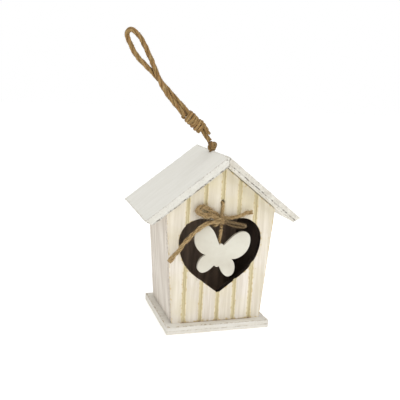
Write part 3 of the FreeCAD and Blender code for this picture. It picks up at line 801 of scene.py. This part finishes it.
base_top = flat_white("base_paint", squeeze=(60, 300, 300), light=(230, 226, 217),
                      dark=(220, 215, 205), wood=(172, 156, 128), wear=0.42)
base_edge = sawn_edge("base_edge", depth_in_base, light=(227, 224, 216), dark=(216, 211, 200),
                      speck=(184, 173, 154), line_depth=2.3 * mm, line_width=0.30 * mm,
                      squeeze=(70, 70, 420), wear=0.14, mottling=0.35)


def base_paint(middle, normal):
    """Top and underside 0, sawn edge 1, floor of the house 2."""
    covered = (abs(middle.x) < front_high[0] - flare_and_wall
               and front_low[1] < middle.y < back_high[1])
    if normal.z > 0.5:
        return 2 if covered else 0
    return 0 if normal.z < -0.5 else 1


base = cut_board("base", "base_board", spacing=2.5 * mm, rounding=0.35 * mm, chip=0.35 * mm,
                 choose=base_paint, paints=(base_top, base_edge, inside_wood_shaded))


# --- Walls ----------------------------------------------------------------------------
# The front is one board routed with five grooves to look like planks, washed in
# cream. The side walls and the back are plain, thinly painted, grain upright.
groove_pitch = 11.2 * mm
# Added to x, it puts the middle groove halfway along a pitch and keeps the sum above zero.
groove_shift = groove_pitch * 20.5
groove_half, groove_mouth, groove_depth = 1.15 * mm, 0.15 * mm, 1.2 * mm
# No deeper than this is still the panel's front face, with its rubbed arris.
front_skin = front_low[1] + 0.12 * mm
board_thickness, wall_foot, wall_lean = 5 * mm, 30 * mm, math.radians(4.6)
sides_from, side_tolerance = front_high[0] - 12 * mm, 0.6 * mm
heart_low, heart_high, heart_reach = 23 * mm, 73.5 * mm, 27.6 * mm


def plank_wash():
    made, tree, shader, place = paint_start("plank_wash")
    streaks = grain(tree, place, (420, 420, 26))
    split = add(tree, "ShaderNodeSeparateXYZ", {0: place})
    colour = blend(tree, ranged(tree, streaks["Slow"], 0.38, 0.65), srgb(215, 206, 192),
                   srgb(236, 229, 219))
    # The wash is thinner towards the roof, and in clouds.
    cloud = mottled(tree, place, 60, 2)
    height = ranged(tree, split.outputs["Z"], 40 * mm, 95 * mm, 0.05, 0.45)
    thin = maths(tree, "ADD", ranged(tree, cloud, 0.45, 0.70, 0.0, 0.4), height)
    colour = blend(tree, thin, colour, srgb(216, 206, 174))
    # Bare yellow wood shows through beside each groove, where the wash ran thin.
    shifted = maths(tree, "ADD", split.outputs["X"], groove_shift)
    across = maths(tree, "MODULO", shifted, groove_pitch)
    from_groove = maths(tree, "SUBTRACT", across, groove_pitch / 2)
    distance = maths(tree, "ABSOLUTE", from_groove)
    ragged = maths(tree, "MULTIPLY", streaks["Slow"], 1.6 * mm)
    border = maths(tree, "SUBTRACT", distance, ragged)
    yellow = ranged(tree, border, 0.0, 1.1 * mm, 0.7, 0.0)
    inward = ranged(tree, maths(tree, "ABSOLUTE", split.outputs["X"]), 25 * mm, 27 * mm, 1.0, 0.1)
    beside_groove = maths(tree, "MULTIPLY", yellow, inward)
    colour = blend(tree, beside_groove, colour, srgb(230, 216, 172))
    hair = ranged(tree, streaks["Fine"], 0.57, 0.74, 0.0, 0.5)
    colour = blend(tree, hair, colour, srgb(202, 190, 158))
    colour = blend(tree, rubbed(tree, place, 500, 0.30), colour, srgb(204, 184, 138))
    finish_paint(tree, shader, colour, streaks["Fine"], 0.4, 0.2 * mm,
                 ranged(tree, streaks["Slow"], 0.2, 0.8, 0.6, 0.8))
    return made


def groove_wood():
    made, tree, shader, place = paint_start("groove_wood")
    streaks = grain(tree, place, (500, 500, 30))
    colour = blend(tree, ranged(tree, streaks["Slow"], 0.3, 0.7), srgb(205, 193, 154),
                   srgb(224, 214, 180))
    colour = blend(tree, ranged(tree, streaks["Fine"], 0.55, 0.75, 0.0, 0.5), colour,
                   srgb(160, 142, 92))
    finish_paint(tree, shader, colour, streaks["Fine"], 0.4, 0.2 * mm,
                 ranged(tree, streaks["Slow"], 0.2, 0.8, 0.7, 0.85))
    return made


edge_stain = darkened_wood("edge_stain", (34, 28, 26), (56, 46, 40))
# The side walls' inner faces: bare wood painted darker still, as the deeper shade along them.
wall_inside_shaded = darkened_wood("wall_inside_shaded", (66, 58, 54), (98, 84, 74))
wall_paint = flat_white("wall_paint", squeeze=(330, 330, 24), light=(222, 215, 204),
                        dark=(199, 189, 176), wood=(166, 154, 140), wear=0.24)


def front_paint(middle, normal):
    """Wash 0, groove 1, outer side edge 2, inner face 3, edge of the heart 4."""
    if normal.y > 0.5:
        return 3
    if normal.y < -0.5 and middle.y < front_skin:
        return 0
    if abs(middle.x) > sides_from and abs(normal.x) > 0.7:
        side_edge = wall_foot + (middle.z - board_thickness) * math.tan(wall_lean)
        if abs(abs(middle.x) - side_edge) < side_tolerance:
            return 2
    across = (middle.x + groove_shift) % groove_pitch - groove_pitch / 2
    if abs(across) < groove_half and groove_mouth < middle.y - front_low[1] < groove_depth:
        return 1
    in_heart = heart_low < middle.z < heart_high and abs(middle.x) < heart_reach
    if in_heart and middle.y > front_skin:
        return 4
    return 0


front = cut_board("front", "front_panel", spacing=2.2 * mm, rounding=0.22 * mm, chip=0.06 * mm,
                  choose=front_paint,
                  paints=(plank_wash(), groove_wood(), wall_paint, inside_wood_shaded, edge_stain))


def back_paint(middle, normal):
    """Inner face 1, the rest 0."""
    return 1 if normal.y < -0.5 else 0


back = cut_board("back", "back_panel", spacing=2.5 * mm, rounding=0.25 * mm, chip=0.2 * mm,
                 choose=back_paint, paints=(wall_paint, inside_wood_shaded))


def side_paint(side):
    """For a wall on that side, -1 or 1: paint on its outer face, and bare wood painted darker as
    shade on the others.
    """
    return lambda middle, normal: 0 if normal.x * side > 0.3 else 1


for side_name, side in (("left", -1), ("right", 1)):
    wall = cut_board(side_name + "_wall", side_name + "_side_panel", spacing=2.5 * mm,
                     rounding=0.2 * mm, chip=0.15 * mm, choose=side_paint(side),
                     paints=(wall_paint, wall_inside_shaded))


# --- Roof -----------------------------------------------------------------------------
# Two boards mitred together at the ridge, painted white on top. Their sawn edges
# are left rough: the paint breaks up along the glue line between the plies.
roof_pitch = math.radians(37.5)
ridge_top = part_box("right_roof_panel")[1][2]
# Half the width of the roof's stained underside, between the side walls.
ceiling_reach = 34 * mm


def depth_in_roof(tree, place):
    """How far a spot lies under the roof's top face."""
    folded = add(tree, "ShaderNodeVectorMath", {0: place}, operation="ABSOLUTE")
    out = (math.sin(roof_pitch), 0, math.cos(roof_pitch))
    level = add(tree, "ShaderNodeVectorMath", {0: folded.outputs[0], 1: out},
                operation="DOT_PRODUCT")
    return maths(tree, "SUBTRACT", ridge_top * out[2], level.outputs["Value"])


roof_top = flat_white("roof_paint", squeeze=(60, 260, 60), light=(237, 235, 227),
                      dark=(233, 231, 222), wood=(206, 200, 186), wear=0.40)
right_edge = sawn_edge("roof_edge", depth_in_roof, light=(228, 225, 215), dark=(206, 200, 187),
                       speck=(60, 48, 36), line_depth=3.4 * mm, line_width=0.5 * mm,
                       squeeze=(200, 200, 200), wear=0.22, mottling=0.45)
left_edge = sawn_edge("left_roof_edge", depth_in_roof, light=(226, 224, 215),
                      dark=(217, 214, 204), speck=(84, 70, 52), line_depth=4.4 * mm,
                      line_width=0.7 * mm, squeeze=(200, 200, 200), wear=0.26, mottling=0.25)


def roof_paint(middle, normal):
    """Top and eaves 0, sawn edge 1, ceiling of the house 2."""
    if abs(normal.y) > 0.5:
        return 1
    under = normal.z < -0.5
    if under and abs(middle.x) < ceiling_reach and front_high[1] < middle.y < back_low[1]:
        return 2
    if under or normal.z > 0.5:
        return 0
    return 1


for side_name, edge in (("left", left_edge), ("right", right_edge)):
    roof = cut_board(side_name + "_roof", side_name + "_roof_panel", spacing=2.2 * mm,
                     rounding=0.35 * mm, chip=0.45 * mm, choose=roof_paint,
                     paints=(roof_top, edge, inside_wood_shaded))


# --- Pins -----------------------------------------------------------------------------
# Headless wire pins, set below the face and filled over. Only their CAD solids
# are needed, in dull steel with a few rust stains.
def pin_steel():
    made, tree, shader, place = paint_start("pin_steel")
    stain = mottled(tree, place, 900, 3)
    colour = blend(tree, ranged(tree, stain, 0.5, 0.7), srgb(150, 150, 148),
                   srgb(120, 84, 56))
    finish_paint(tree, shader, colour, stain, 0.3, 0.1 * mm,
                 ranged(tree, stain, 0.3, 0.7, 0.35, 0.6))
    shader.inputs["Metallic"].default_value = 1.0
    return made


steel = pin_steel()
for name in ("base_pins", "front_panel_pins", "back_panel_pins", "left_roof_pins",
             "right_roof_pins"):
    pins = nodes[name]
    for slot in pins.material_slots:
        slot.material = steel


# --- Butterfly ------------------------------------------------------------------------
# Cut from 2 mm board, edges eased, and dipped in flat off-white paint. It hangs
# in the heart with the twine's end glued behind its body.
butterfly_white = flat_white("butterfly_white", squeeze=(45, 45, 60), light=(218, 215, 201),
                             dark=(206, 201, 186), wood=(190, 182, 160), wear=0.25)
wings = merged_copy("butterfly")
rims = [edge for edge in wings.edges
        if len(edge.link_faces) == 2 and edge.calc_face_angle(0) > math.radians(60)
        and abs(edge.verts[0].co.y - edge.verts[1].co.y) < 0.1 * mm]
bmesh.ops.bevel(wings, geom=rims, offset=0.25 * mm, offset_type="OFFSET", segments=3, profile=0.5,
                affect="EDGES", clamp_overlap=True)
for face in wings.faces:
    face.smooth = True
butterfly = wooden_piece("butterfly_wings", wings, (butterfly_white,), sharp=40)
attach(butterfly, "butterfly")
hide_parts("butterfly")
